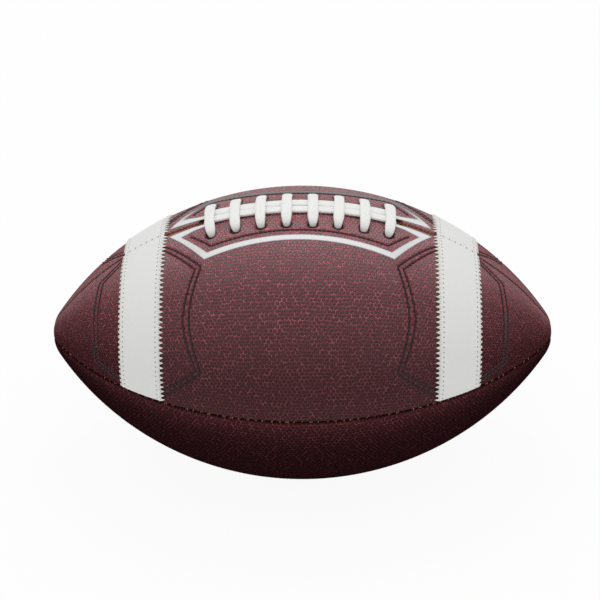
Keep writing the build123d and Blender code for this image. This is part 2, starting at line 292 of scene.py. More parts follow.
# Panels: each a closed shell with rounded edges that turn inwards at the seams
panelForm = {
    "stations": 430,
    "crowd": 1.18,              # how the stations draw together towards the tips
    "tipGap": 0.25,             # left open at each tip
    "across": 166,
    "edgeSteps": (0.0, 0.05, 0.16, 0.36, 0.65, 1.0, 1.4, 1.9, 2.5),
    "edgeShare": 0.3,           # the most that these steps may take of a panel's width, near the tips
    "margin": 0.05,             # half of the gap in a seam
    "roll": 1.6,
    "rollShare": 0.5,           # the most that a roll may take of a panel's half width, near the tips
    "pillow": 0.7,              # how far the inflated panels draw in at a seam
    "pillowReach": 6.0,
    "pillowRadius": 20.0,       # of the ball, below which the tips are drawn in less
    "tipDrop": 1.5,
    "tipReach": 3.5,
    "thickness": 2.0,
    "edgeThickness": 1.4,
    "turnIn": 5.0,
    "turnShare": 0.6,           # place of the turned edge's middle column between roll and end
    "turnColumns": 3,           # columns of a turned edge
    "insideSteps": 6,           # columns of the inside from a seam to the middle
    "valveCells": 14,           # cells across the block that is opened for the valve
    "valveBlock": 6.3,
    "valveRings": ((5.7, 0.0), (5.35, 0.12), (5.2, 0.45), (5.2, 2.0)),
    "rawReach": 1.5,            # width of the cut edge that shows by the lacing
    "darkEdgeReach": 1.0,           # width of the smooth dark edge along a seam
}
panelTurns = {"front_upper": 0, "back_upper": 1, "back_lower": 2, "front_lower": 3}


def seamDistance(arc, turn):
    # millimetres round the ball to the nearest of the four seams
    return meridian(arc)[1] * np.abs((turn + quarterTurn / 2) % quarterTurn - quarterTurn / 2)


def byLace(turn):
    # whether the lace seam is nearer than the side seams
    return np.sin(turn) > np.abs(np.cos(turn))


def rowDistance(arc, turn):
    # millimetres to the nearest stitch row, from the distance to each of its straight steps
    radius = meridian(arc)[1]
    nearest = np.full(arc.shape, np.inf)
    for rowArc, rowTurn in stitchRows:
        for step in range(len(rowArc) - 1):
            stepArc = rowArc[step + 1] - rowArc[step]
            stepRound = radius * (rowTurn[step + 1] - rowTurn[step])
            fromArc = arc - rowArc[step]
            fromRound = radius * (turn - rowTurn[step])
            squared = np.maximum(stepArc ** 2 + stepRound ** 2, tiny)
            share = np.clip((fromArc * stepArc + fromRound * stepRound) / squared, 0, 1)
            gap = np.hypot(fromArc - share * stepArc, fromRound - share * stepRound)
            nearest = np.minimum(nearest, gap)
    return nearest


def rowDepth(arc, turn):
    # narrow bell-shaped channels, exp(-(d/w)^2), along the stitch rows
    return rowForm["channelDepth"] * np.exp(-(rowDistance(arc, turn) / rowForm["channelWidth"]) ** 2)


def holeDepth(arc, turn):
    # rounded pits, (1 - (gap / reach)^2)^p, at the lace holes, and a long one at each end of the strands
    radius = meridian(arc)[1]
    gaps = []
    for place in barPlaces:
        for side in (-1, 1):
            hole = bedPoint(place, side * lacing["holeOffset"], 0.0)
            gap = np.hypot(arc - arcAt(hole[0]), radius * (turn - math.atan2(hole[2], -hole[1])))
            gaps.append(gap / lacing["holeRadius"])
    for end in (-1, 1):
        gaps.append(np.hypot((arc - end * arcAt(lacing["slotPlace"])) / lacing["slotReach"][0],
                             radius * (turn - quarterTurn) / lacing["slotReach"][1]))
    nearest = np.minimum.reduce(gaps)
    return lacing["holeDepth"] * np.clip(1 - nearest ** 2, 0, 1) ** lacing["holePower"]


def seamDepth(arc, turn, roll):
    # quarter-round roll r - sqrt(r^2 - (r - d)^2) at a seam, a wide soft drop, and a drop at the tips
    form = panelForm
    radius = meridian(arc)[1]
    toSeam = seamDistance(arc, turn)
    rollHere = np.maximum(np.minimum(roll, form["rollShare"] * radius * quarterTurn / 2), tiny)
    inRoll = np.clip(1 - toSeam / rollHere, 0, 1)
    depth = rollHere * (1 - np.sqrt(1 - inRoll ** 2))
    fullness = np.clip(radius / form["pillowRadius"], 0, 1)
    depth = depth + form["pillow"] * np.exp(-toSeam / form["pillowReach"]) * fullness
    return depth + form["tipDrop"] * np.exp(-(radius / form["tipReach"]) ** 2)


def coverDepth(arc, turn):
    # how far the outside of the cover lies below the plain ball
    depth = seamDepth(arc, turn, panelForm["roll"])
    return np.maximum(depth, holeDepth(arc, turn)) + rowDepth(arc, turn)


def onCover(arc, turn, lift, step=0.2, leastRadius=1.0):
    # points above the cover with their outward normals, from differences along and round the ball
    arc = np.asarray(arc, float)
    radius = np.maximum(meridian(arc)[1], leastRadius)
    places = [(arc, turn), (arc + step, turn), (arc - step, turn),
              (arc, turn + step / radius), (arc, turn - step / radius)]
    points = [shellPoint(a, t, seamDepth(a, t, panelForm["roll"]) + rowDepth(a, t)) for a, t in places]
    normal = unitWay(np.cross(points[3] - points[4], points[1] - points[2]))
    normal = normal * np.sign(np.sum(normal * points[0], -1, keepdims=True))
    return points[0] + np.asarray(lift)[..., None] * normal, normal


# Pebble grain: spacings that draw together towards the tips
grainForm = {
    "pitch": 2.3,               # spacing of the pebbles at the belly
    "least": 0.62,              # how far the grain may draw together at the tips
    "samples": 4001,
    "shift": 400.0,             # gives each panel a part of the pattern of its own
}
grainArc = np.linspace(-halfArc, halfArc, grainForm["samples"])
grainShrink = np.maximum(np.sqrt(np.maximum(meridian(grainArc)[1], 0) / ballRadius), grainForm["least"])
grainRun = np.concatenate([[0], np.cumsum(np.diff(grainArc) * 2 / (grainShrink[1:] + grainShrink[:-1]))])


def grainPlace(arc, turn, middle):
    # pebble coordinates, in spacings: run = integral of ds / shrink, round = radius times turn / shrink
    shrink = np.interp(arc, grainArc, grainShrink)
    run = np.interp(arc, grainArc, grainRun)
    around = meridian(arc)[1] * (turn - middle) / shrink
    place = np.stack([run, around + grainForm["shift"] * middle, 0 * run], -1)
    return place / grainForm["pitch"]


# Painted light on the cover: tones by degrees from the lacing and by arc from the middle; painted shade
# darkens it towards the side seams, the tips and the lower panels, and a painted sheen makes it paler by the
# lacing
paintedLightForm = {
    "from": 30.0,               # degrees where the painted shade starts
    "to": 82.0,
    "upper": 0.44,
    "paleReach": 44.0,          # degrees within which a painted sheen makes it paler
    "pale": 0.68,
    "sideSeam": 90.0,
    "seam": 0.55,               # tone just below a side seam
    "lower": 0.132,
    "lowerReach": 6.5,          # degrees in which it falls there by a factor e
    "tipFrom": 85.0,            # arcs between which the tips darken
    "tipTo": 140.0,
    "tip": 0.9,
}


def smoothStep(value, start, stop):
    # 0 before start, 1 after stop, t^2 (3 - 2 t) between them
    t = np.clip((value - start) / (stop - start), 0, 1)
    return t ** 2 * (3 - 2 * t)


def paintedLightTone(arc, turn):
    # painted light: palest by the lacing (painted sheen), smooth steps of painted shade down towards the side
    # seams and the tips, and an exponential fall of painted shade below the side seams
    form = paintedLightForm
    fromLace = np.degrees(np.abs((turn + quarterTurn) % (2 * math.pi) - math.pi))
    upper = 1 - (1 - form["upper"]) * smoothStep(fromLace, form["from"], form["to"])
    upper = upper * (1 + form["pale"] * smoothStep(fromLace, form["paleReach"], 0))
    tip = 1 - (1 - form["tip"]) * smoothStep(np.abs(arc), form["tipFrom"], form["tipTo"])
    fall = np.exp(-np.maximum(fromLace - form["sideSeam"], 0) / form["lowerReach"])
    lower = form["lower"] + (form["seam"] - form["lower"]) * fall
    return tip * np.where(fromLace < form["sideSeam"], upper, lower)


def panelAround(width, edge, shrink):
    # places of the outside points round the panel: fixed steps by both seams, even steps between them
    free = np.linspace(0, 1, panelForm["across"] - 2 * len(edge) + 2)[1:-1]
    near = edge * shrink
    middle = edge[-1] * shrink + free * (width - 2 * edge[-1] * shrink)
    return np.concatenate([near, middle, width - near[:, ::-1]], 1)


def valveColumns():
    # first and last of the outside columns round the valve, at the middle of a panel
    first = panelForm["across"] // 2 - panelForm["valveCells"] // 2
    return first, first + panelForm["valveCells"]


def hiddenRing(width, around, shrink):
    # places and depths of the turned edges and the inside; the inside has the outside's columns at the middle
    form = panelForm
    first, last = valveColumns()
    gap = form["margin"] * shrink
    inner = (form["margin"] + form["edgeThickness"]) * shrink
    turnIn = form["turnIn"] * shrink
    low = form["roll"] * shrink + form["turnShare"] * (turnIn - form["roll"] * shrink)
    side = np.linspace(0, 1, form["insideSteps"])[None, :-1]
    above = width - inner + (around[:, last:last + 1] - (width - inner)) * side
    below = (inner + (around[:, first:first + 1] - inner) * side)[:, ::-1]
    inside = np.concatenate([above, around[:, first:last + 1][:, ::-1], below], 1)
    place = np.concatenate([width - gap, width - gap, width - inner, inside, inner, gap, gap], 1)
    wall = np.full(inside.shape, form["thickness"])
    return place, np.concatenate([low, turnIn, turnIn, wall, turnIn, turnIn, low], 1)


def openValve(faces, rows, columns, arc, middle):
    # a block of cells is taken out of both faces of the panel, and rings join its edges to a round hole:
    # point = (r cos a, r sin a) round the valve, at a depth
    form = panelForm
    first, last = valveColumns()
    inFirst = form["across"] + form["turnColumns"] + form["insideSteps"] - 1
    top = int(np.argmin(np.abs(arc + form["valveBlock"])))
    bottom = rows - 1 - top
    row, column = np.divmod(np.arange((rows - 1) * columns), columns)
    inRows = (row >= top) & (row < bottom)
    outside = inRows & (column >= first) & (column < last)
    inside = inRows & (column >= inFirst) & (column < inFirst + last - first)
    acrossWay, downWay = np.arange(first, last + 1), np.arange(top, bottom + 1)
    loopRow = np.concatenate([np.full(len(acrossWay) - 1, top), downWay[:-1],
                              np.full(len(acrossWay) - 1, bottom), downWay[:0:-1]])
    loopColumn = np.concatenate([acrossWay[:-1], np.full(len(downWay) - 1, last),
                                 acrossWay[:0:-1], np.full(len(downWay) - 1, first)])
    outLoop = loopRow * columns + loopColumn
    inLoop = loopRow * columns + inFirst + last - loopColumn
    cellWidth = form["valveBlock"] * 2 / (last - first)
    angle = np.arctan2((loopColumn - (first + last) / 2) * cellWidth, arc[loopRow])
    radius, depth = np.array(form["valveRings"]).T[:, :, None]
    ringArc = radius * np.cos(angle)
    ringTurn = middle + radius * np.sin(angle) / ballRadius
    ringDepth = np.broadcast_to(depth, ringArc.shape)
    rings = rows * columns + np.arange(ringArc.size).reshape(ringArc.shape)
    loops = np.concatenate([outLoop[None], rings, inLoop[None]])
    beside = np.roll(loops, -1, 1)
    joins = np.stack([loops[:-1], beside[:-1], beside[1:], loops[1:]], -1).reshape(-1, 4)
    kept = np.array(faces[:-2])[~(outside | inside)]
    return kept.tolist() + faces[-2:] + joins.tolist(), (ringArc, ringTurn, ringDepth)


def makePanel(name, number, materials):
    # rings of points along the arc: outside, turned edge, inside, turned edge
    form = panelForm
    start = number * quarterTurn
    middle = start + quarterTurn / 2
    arc = halfArc * np.sin(np.linspace(-1, 1, form["stations"]) * form["crowd"]) / math.sin(form["crowd"])
    arc = np.clip(arc, -halfArc + form["tipGap"], halfArc - form["tipGap"])[:, None]
    radius = meridian(arc)[1]
    width = radius * quarterTurn
    edge = np.array(form["edgeSteps"]) + form["margin"]
    shrink = np.minimum(1, form["edgeShare"] * width / edge[-1])
    around = panelAround(width, edge, shrink)
    turn = start + around / radius
    hiddenAround, hiddenDepth = hiddenRing(width, around, shrink)
    allTurns = np.concatenate([turn, start + hiddenAround / radius], 1)
    allArcs = np.broadcast_to(arc, allTurns.shape)
    depth = np.concatenate([coverDepth(np.broadcast_to(arc, turn.shape), turn), hiddenDepth], 1)
    faces = tubeFaces(*allTurns.shape)
    grids = [allArcs, allTurns, depth]
    if name.endswith("back_lower"):
        faces, rings = openValve(faces, *allTurns.shape, arc.ravel(), middle)
        grids = [np.append(grid, ring) for grid, ring in zip(grids, rings)]
    allArcs, allTurns, depth = [grid.ravel() for grid in grids]
    piece = addPiece(name, shellPoint(allArcs, allTurns, depth), faces, materials[0],
                     ["panel_" + name.split("_", 1)[1]])
    if len(materials) > 1:
        # the second finish starts at the middle of the stripes, which hide the change
        piece.data.materials.append(materials[1])
        past = np.abs(allArcs[[face[0] for face in faces]]) > arcAt(stripeMiddle)
        piece.data.polygons.foreach_set("material_index", past.astype(np.int32))
    setAttribute(piece, "grainPlace", "FLOAT_VECTOR", "vector", grainPlace(allArcs, allTurns, middle))
    toSeam = seamDistance(allArcs, allTurns)
    toRow = rowDistance(allArcs, allTurns)
    # darker along the seams and the stitch rows
    edgeAndHoleShade = np.maximum(np.exp(-(toSeam / form["darkEdgeReach"]) ** 2),
                      np.exp(-(toRow / rowForm["channelWidth"]) ** 2))
    # painted shade: the lace holes darken with their depth
    edgeAndHoleShade = np.maximum(edgeAndHoleShade, np.clip(holeDepth(allArcs, allTurns) / lacing["holeShade"], 0, 1))
    betweenStripes = np.abs(allArcs) < arcAt(stripeForm["inner"])
    raw = np.exp(-(toSeam / form["rawReach"]) ** 4) * byLace(allTurns) * betweenStripes
    for attribute, values in (("edgeToneAndHoleShade", edgeAndHoleShade),
                              ("rowPress", np.exp(-(toRow / rowForm["pressWidth"]) ** 4)),
                              ("paintedLight", paintedLightTone(allArcs, allTurns)),
                              ("rawEdge", raw)):
        setAttribute(piece, attribute, "FLOAT", "value", values)


# Composite leather: an embossed urethane skin. Dark satin pebble tops stand on a lighter maroon ground in
# loose six-sided packing, and the tops catch a small soft gloss.
leatherLook = {
    "ground": "#C06E76",
    "groundDeep": "#AE6068",
    "pebble": "#60484A",
    "pebbleDeep": "#63373D",        # redder tops where the painted light tone is low
    "pebblePale": "#7E7071",        # a painted highlight on the tops by the lacing
    "paintedToneFrom": (0.42, 0.95),     # painted light tones between which the tops turn glossy and take the grey pebble colour
    "paleFrom": (0.95, 1.45),       # and between which they take the painted highlight
    "edge": "#3A1B1A",
    "raw": "#6B3B2B",
    "rawLight": "#B98A5E",
    "wander": (0.22, 1.0),          # scale, per pebble spacing, and detail of the noise that moves the rows
    "blotch": (0.35, 3.0),          # of the noise in the ground's tone
    "fibre": (3.0, 3.0),            # and of the fibres in a cut edge
    "fleckFrom": (0.56, 0.68),      # values of that noise between which a fibre shows
    "sway": 0.9,                    # how far the rows of pebbles wander, in pebble spacings
    "jitter": 0.22,                 # how far a pebble lies from its place in the packing
    "sizes": (0.91, 1.11),          # from large pebbles to small ones
    "pebbleEdge": (0.47, 0.29),     # distances from a pebble's middle between which its top starts
    "pebbleReach": 0.54,
    "rounding": 0.75,
    "height": 2.1 * mm,             # taller than the real relief, which would not show at this distance
    "rowRise": math.sqrt(3),
    "roughness": (0.8, 0.25),       # of the ground, and of a rubbed top
    "satin": 0.2,                   # specular levels
    "dull": 0.0,
}


def makeLeather(name, gloss):
    look = leatherLook
    material, tree, shader = startMaterial(name, {"IOR": 1.45, "Specular IOR Level": gloss})
    grain, edgeAndHoleShade, paintedTone, pressed, cut = [
        addNode(tree, "Attribute", {"attribute_name": attribute})
        for attribute in ("grainPlace", "edgeToneAndHoleShade", "paintedLight", "rowPress", "rawEdge")]
    wander, blotch, fibre = [
        addNode(tree, "TexNoise", {"Scale": scale, "Detail": detail}, {"Vector": grain.outputs["Vector"]})
        for scale, detail in (look["wander"], look["blotch"], look["fibre"])]
    sway = addNode(tree, "VectorMath", {"operation": "MULTIPLY_ADD", 1: (look["sway"], look["sway"], 0)},
                   {0: wander.outputs["Color"], 2: grain.outputs["Vector"]})
    place = addNode(tree, "VectorMath", {"operation": "MULTIPLY", 1: (1, 1, 0)}, {0: sway})
    squeezed = addNode(tree, "VectorMath", {"operation": "MULTIPLY", 1: (1, 1 / look["rowRise"], 0)},
                       {0: place})
    jitter = Vector((look["jitter"], look["jitter"], 0))
    half, none = (0.5, 0.5, 0), (0, 0, 0)
    gaps = []
    for before, after in ((half, none), (none, half)):
        # one half of the six-sided packing: nearest place of a lattice, moved a little at random
        moved = addNode(tree, "VectorMath", {"operation": "ADD", 1: before}, {0: squeezed})
        cell = addNode(tree, "VectorMath", {"operation": "FLOOR"}, {0: moved})
        middle = addNode(tree, "VectorMath", {"operation": "ADD", 1: after}, {0: cell})
        chance = addNode(tree, "TexWhiteNoise", {"noise_dimensions": "3D"}, {"Vector": middle})
        stretched = addNode(tree, "VectorMath", {"operation": "MULTIPLY_ADD", 1: (1, look["rowRise"], 0),
                                                 2: -jitter / 2}, {0: middle})
        centre = addNode(tree, "VectorMath", {"operation": "MULTIPLY_ADD", 1: jitter},
                         {0: chance.outputs["Color"], 2: stretched})
        gap = addNode(tree, "VectorMath", {"operation": "DISTANCE"}, {0: place, 1: centre})
        size = addNode(tree, "MapRange", {"To Min": look["sizes"][0], "To Max": look["sizes"][1]},
                       {"Value": chance})
        gaps.append(addNode(tree, "Math", {"operation": "MULTIPLY"}, {0: gap, 1: size}))
    nearest = addNode(tree, "Math", {"operation": "MINIMUM"}, {0: gaps[0], 1: gaps[1]})
    raised = addNode(tree, "Math", {"operation": "SUBTRACT", 0: 1.0}, {1: pressed.outputs["Fac"]})
    dot = addNode(tree, "MapRange", {"interpolation_type": "SMOOTHSTEP", "From Min": look["pebbleEdge"][0],
                                     "From Max": look["pebbleEdge"][1]}, {"Value": nearest})
    top = addNode(tree, "Math", {"operation": "MULTIPLY"}, {0: dot, 1: raised})
    # round pebbles: height = (1 - (d / reach)^2)^rounding
    inReach = addNode(tree, "Math", {"operation": "DIVIDE", 1: look["pebbleReach"], "use_clamp": True},
                      {0: nearest})
    squared = addNode(tree, "Math", {"operation": "POWER", 1: 2.0}, {0: inReach})
    fallen = addNode(tree, "Math", {"operation": "SUBTRACT", 0: 1.0}, {1: squared})
    rounded = addNode(tree, "Math", {"operation": "POWER", 1: look["rounding"]}, {0: fallen})
    hill = addNode(tree, "Math", {"operation": "MULTIPLY"}, {0: rounded, 1: raised})
    bare, paler, fleck = [
        addNode(tree, "MapRange", {"From Min": limits[0], "From Max": limits[1]}, {"Value": source})
        for limits, source in ((look["paintedToneFrom"], paintedTone.outputs["Fac"]),
                               (look["paleFrom"], paintedTone.outputs["Fac"]),
                               (look["fleckFrom"], fibre))]
    # ground and pebble tops, then the edges darker along seams and rows, painted shade in the lace holes, the
    # cut edge by the lacing, and the painted light tone (painted shade and painted sheen) over all
    ground = addNode(tree, "Mix", {"data_type": "RGBA", 6: look["groundDeep"], 7: look["ground"]},
                     {0: blotch})
    pebble = addNode(tree, "Mix", {"data_type": "RGBA", 6: look["pebbleDeep"], 7: look["pebble"]}, {0: bare})
    palePebble = addNode(tree, "Mix", {"data_type": "RGBA", 7: look["pebblePale"]}, {0: paler, 6: pebble})
    dotted = addNode(tree, "Mix", {"data_type": "RGBA"}, {0: top, 6: ground, 7: palePebble})
    shadedEdges = addNode(tree, "Mix", {"data_type": "RGBA", 7: look["edge"]}, {0: edgeAndHoleShade.outputs["Fac"], 6: dotted})
    raw = addNode(tree, "Mix", {"data_type": "RGBA", 6: look["raw"], 7: look["rawLight"]}, {0: fleck})
    edged = addNode(tree, "Mix", {"data_type": "RGBA"}, {0: cut.outputs["Fac"], 6: shadedEdges, 7: raw})
    toned = addNode(tree, "Mix", {"data_type": "RGBA", "blend_type": "MULTIPLY", 0: 1.0},
                    {6: edged, 7: paintedTone})
    glossy = addNode(tree, "Math", {"operation": "MULTIPLY"}, {0: top, 1: bare})
    rough = addNode(tree, "MapRange", {"To Min": look["roughness"][0], "To Max": look["roughness"][1]},
                    {"Value": glossy})
    bump = addNode(tree, "Bump", {"Strength": 1.0, "Distance": look["height"]}, {"Height": hill})
    setNode(shader, {}, {"Base Color": toned, "Roughness": rough, "Normal": bump})
    return material


# the upper panels are rubbed to a satin gloss between the stripes, the tips and lower panels are left dull
satin = makeLeather("embossed urethane leather, satin", leatherLook["satin"])
dull = makeLeather("embossed urethane leather, dull", leatherLook["dull"])
for panelName, panelNumber in panelTurns.items():
    makePanel("cover_" + panelName, panelNumber, [satin, dull] if panelName.endswith("upper") else [dull])
print("panels made")

# White composite leather of the stripes: a smooth pressed urethane face, matte, with a very fine grain (drawn
# at 0.7 mm, coarser than the real one, so that it shows), pierced by the needle, with painted shade as dark
# dots in the needle holes
whiteLook = {
    "colours": ("#DEDEDC", "#ECECEA"),
    "grain": 0.7 * mm,
    "detail": 2.0,
    "relief": (0.5, 0.05 * mm),
    "needle": "#4A4442",
    "needlePitch": 2.7,         # needle holes inside both long edges, in millimetres
    "needleInset": 2.5,
    "needleEdge": (0.546, 0.252),   # distances from a hole's middle between which it darkens
    "needleTone": 0.8,
    "seamPitch": 3.9,           # holes along the seam at the top
    "seamInset": 0.5,
}
stripeWhite, tree, shader, tone = tonedMaterial(
    "pressed white urethane leather", {"Roughness": 0.6, "IOR": 1.45},
    whiteLook["colours"], whiteLook["grain"], whiteLook["detail"], whiteLook["relief"])
strip = addNode(tree, "Attribute", {"attribute_name": "stripPlace"})
fromLace, fromEdge, fromSeamRow = addNode(tree, "SeparateXYZ", {}, {0: strip.outputs["Vector"]}).outputs
fromEdgeRow = addNode(tree, "Math", {"operation": "SUBTRACT", 1: whiteLook["needleInset"]}, {0: fromEdge})
reaches = []
for along, pitch, beside in ((fromLace, whiteLook["needlePitch"], fromEdgeRow),
                             (fromEdge, whiteLook["seamPitch"], fromSeamRow)):
    # distance from the nearest hole of a row, along the row and beside it
    cell = addNode(tree, "Math", {"operation": "PINGPONG", 1: pitch / 2}, {0: along})
    apart = addNode(tree, "CombineXYZ", {}, {0: cell, 1: beside})
    reaches.append(addNode(tree, "VectorMath", {"operation": "LENGTH"}, {0: apart}))
closest = addNode(tree, "Math", {"operation": "MINIMUM"}, {0: reaches[0], 1: reaches[1]})
hole = addNode(tree, "MapRange", {"interpolation_type": "SMOOTHSTEP", "From Min": whiteLook["needleEdge"][0],
                                  "From Max": whiteLook["needleEdge"][1], "To Max": whiteLook["needleTone"]},
               {"Value": closest})
pierced = addNode(tree, "Mix", {"data_type": "RGBA", 7: whiteLook["needle"]}, {0: hole, 6: tone})
setNode(shader, {}, {"Base Color": pierced})


def stripeDepth(arc, turn):
    # the cover's own depth at the lower seam, and a much shallower roll at the lace seam
    deep = seamDepth(arc, turn, panelForm["roll"])
    shallow = seamDepth(arc, turn, stripeForm["seamRoll"])
    calm = 1 - stripeForm["seamCalm"] * np.exp(-seamDistance(arc, turn) / panelForm["pillowReach"])
    return np.where(byLace(turn), shallow * calm, deep)


def makeStripe(name, end, back):
    # rings across the strip, a rounded top over a flat underside, carried from seam to seam
    form = stripeForm
    share = np.linspace(0, 1, form["around"])
    share = (share - form["crowd"] * np.sin(2 * math.pi * share))[:, None]
    low, high = form["lowerTurn"], quarterTurn - form["laceTurn"]
    turn = low + (high - low) * np.clip(share, 0, 1)
    arcIn, arcOut = arcAt(form["inner"]), arcAt(stripeOuter)
    arcTop = np.linspace(arcIn, arcOut, form["across"])
    toEdge = np.minimum(arcTop - arcIn, arcOut - arcTop)
    inRound = np.clip(1 - toEdge / form["edgeRound"], 0, 1)
    crown = form["lift"] - form["edgeRound"] * (1 - np.sqrt(1 - inRound ** 2))
    arcUnder = arcTop[::-form["underStep"]]
    ringArc = np.concatenate([arcTop, arcUnder])[None, :]
    ringLift = np.concatenate([crown, np.full(len(arcUnder), -form["sink"])])[None, :]
    arcGrid = np.broadcast_to(ringArc, (form["around"], ringArc.shape[1]))
    turnGrid = np.broadcast_to(turn, arcGrid.shape)
    depth = stripeDepth(arcGrid, turnGrid) - ringLift
    points = shellPoint(arcGrid * end, math.pi - turnGrid if back else turnGrid, depth)
    piece = addPiece("strip_" + name, points, tubeFaces(*points.shape[:2]), stripeWhite,
                     ["stripe_" + name])
    fromLace = (quarterTurn - turnGrid) * meridian(arcGrid)[1]
    fromEdge = np.minimum(arcGrid - arcIn, arcOut - arcGrid)
    place = np.stack([fromLace, fromEdge, fromLace - whiteLook["seamInset"]], -1)
    setAttribute(piece, "stripPlace", "FLOAT_VECTOR", "vector", place)


for sideName, back in (("front", False), ("back", True)):
    for endName, end in (("left", -1), ("right", 1)):
        makeStripe(sideName + "_" + endName, end, back)
print("stripes made")

# Threads: short lengths that lie on the cover and dip at both ends
threadForm = {
    "sides": 6,
    "ends": (0.12, 0.75, 1.0, 1.0, 0.75, 0.12),
    "samples": 60,              # of each step of a row, to find its length
    "twist": 0.5 * mm,          # grain of the twisted filaments
    "detail": 1.0,
}
threadStations = len(threadForm["ends"])


def threadPoints(path, normal, radius, flat):
    # rings round each path, p + r (cos a * side + flat * sin a * up), thin at both ends
    along = unitWay(np.gradient(path, axis=-2))
    side = unitWay(np.cross(along, normal))
    up = np.cross(side, along)
    angle = np.linspace(0, 2 * math.pi, threadForm["sides"], endpoint=False)[:, None]
    reach = radius * np.array(threadForm["ends"])[:, None, None]
    ring = np.cos(angle) * side[..., None, :] + flat * np.sin(angle) * up[..., None, :]
    return path[..., None, :] + reach * ring


def threadFaces(count):
    # faces of that many threads, each a capped tube
    rows, columns = threadStations, threadForm["sides"]
    base = gridFaces(rows, columns, True)
    ring = np.arange(columns)
    caps = np.stack([ring[::-1], ring + (rows - 1) * columns])
    shift = (np.arange(count) * rows * columns)[:, None, None]
    return (base + shift).reshape(-1, 4).tolist() + (caps + shift).reshape(-1, columns).tolist()


def addThreads(name, form, lines, sockets, materialName):
    # one piece of many threads, from pairs of centre lines and normals; the tone varies with the twist
    material = tonedMaterial(materialName, sockets, form["colours"],
                             threadForm["twist"], threadForm["detail"])[0]
    path, normal = [np.concatenate(part) for part in zip(*lines)]
    points = threadPoints(path, normal, form["radius"], form["flat"])
    addPiece(name, points, threadFaces(len(path)), material)
    print(name, "made:", len(path), "threads")


def outwardWay(path, share):
    # roughly outwards from the ball: the point itself, with its part along the axis cut to a share
    return unitWay(path * np.array([share, 1, 1]))


# Stitches of the patches and facings
# the lighter thread colour is partly the twist's own tone and partly a painted glint
stitchForm = {"pitch": 2.4, "length": 2.6, "radius": 0.62, "flat": 0.65, "dip": 0.12, "lift": 0.24,
              "colours": ("#0B0C0E", "#31363A")}


def rowStitches(rowArc, rowTurn):
    # stitches at even spacing along a row: centre lines on the cover, height lift - (lift + dip) |t|^3
    form = stitchForm
    fine = np.linspace(0, len(rowArc) - 1, threadForm["samples"] * len(rowArc))
    arc = np.interp(fine, np.arange(len(rowArc)), rowArc)
    turn = np.interp(fine, np.arange(len(rowArc)), rowTurn)
    run = runLength(shellPoint(arc, turn, 0))
    count = int(run[-1] / form["pitch"])
    centre = (np.arange(count) + 0.5) * run[-1] / count
    station = np.linspace(-1, 1, threadStations)
    place = centre[:, None] + station * form["length"] / 2
    height = np.broadcast_to(form["lift"] - (form["lift"] + form["dip"]) * np.abs(station) ** 3, place.shape)
    return onCover(np.interp(place, run, arc), np.interp(place, run, turn), height)


# Bonded polyester thread: twisted filaments, dark, with a faint sheen along each stitch
addThreads("patch_and_facing_stitches", stitchForm, [rowStitches(*row) for row in stitchRows],
           {"Roughness": 0.5, "Specular IOR Level": 0.25}, "bonded polyester thread, black")

# Oversewn edges of the stripes: legs from a needle hole in the strip, over its edge, to a hole in the leather
edgeForm = {
    "pitch": 2.7,
    "inside": 2.4,
    "outside": (2.0, 1.4),      # beyond the inner edge of a stripe, and beyond its outer edge
    "climb": 0.6,               # from a hole, or down from the edge, to the next height
    "heights": (0.3, 0.58, 0.8, 0.45, -0.05),   # above the cover, from hole to hole
    "radius": 0.38,
    "flat": 1.0,
    "slant": 0.37,              # how far a leg starts from the middle of its pair, in pitches
    "outShare": 0.25,           # part along the axis that the threads' upward way keeps
    "colours": ("#D8D6D0", "#F0EFEB"),
}


def edgeLegs(edge, outward, end, back):
    # pairs of legs start beside two needle holes in the strip, climb its edge and meet in one hole outside
    form = edgeForm
    arcEdge = float(arcAt(edge))
    radius = float(meridian(np.array(arcEdge))[1])
    count = int(radius * quarterTurn / form["pitch"]) - 1
    centre = (np.arange(count) + 1.0) * quarterTurn / (count + 1)
    station = np.linspace(0, 1, threadStations)
    inside, outside = form["inside"], form["outside"][outward > 0]
    fromEdge = -inside + (inside + outside) * station
    places = (-inside, -inside + form["climb"], 0.0, form["climb"], outside)
    lift = np.interp(fromEdge, places, form["heights"])
    slant = form["pitch"] * form["slant"] / radius * np.array([-1, 1])[:, None]
    turn = centre[:, None, None] + slant * (1 - station)
    arc = np.broadcast_to(arcEdge + outward * fromEdge, turn.shape) * end
    turn = math.pi - turn if back else turn
    depth = stripeDepth(np.abs(arc), turn) - lift
    path = shellPoint(arc, turn, depth).reshape(-1, threadStations, 3)
    return path, outwardWay(path, form["outShare"])


# Bonded polyester thread again, white and matte
edgeLines = [edgeLegs(edge, outward, end, back) for end in (-1, 1) for back in (False, True)
             for edge, outward in ((stripeForm["inner"], -1), (stripeOuter, 1))]
addThreads("stripe_edge_thread", edgeForm, edgeLines,
           {"Roughness": 0.6}, "bonded polyester thread, white")

# Seam thread that shows in pairs, deep in the seams
seamForm = {
    "pitch": 4.35,
    "pair": 1.0,
    "radius": 0.34,
    "flat": 1.0,
    "lean": 0.35,               # along the seam, at each end of a thread
    "depth": 1.65,
    "vary": 0.5,
    "sag": 0.4,                 # how much deeper the ends lie
    "reach": 1.5,
    "tipGap": 10.0,
    "slotGap": 3.0,             # kept clear beyond the strands of the lace
    "stripeShare": 0.7,         # of a stripe's width, kept clear on each side of its middle
    "outShare": 0.3,
    "colours": ("#5E3018", "#B4713C"),
}


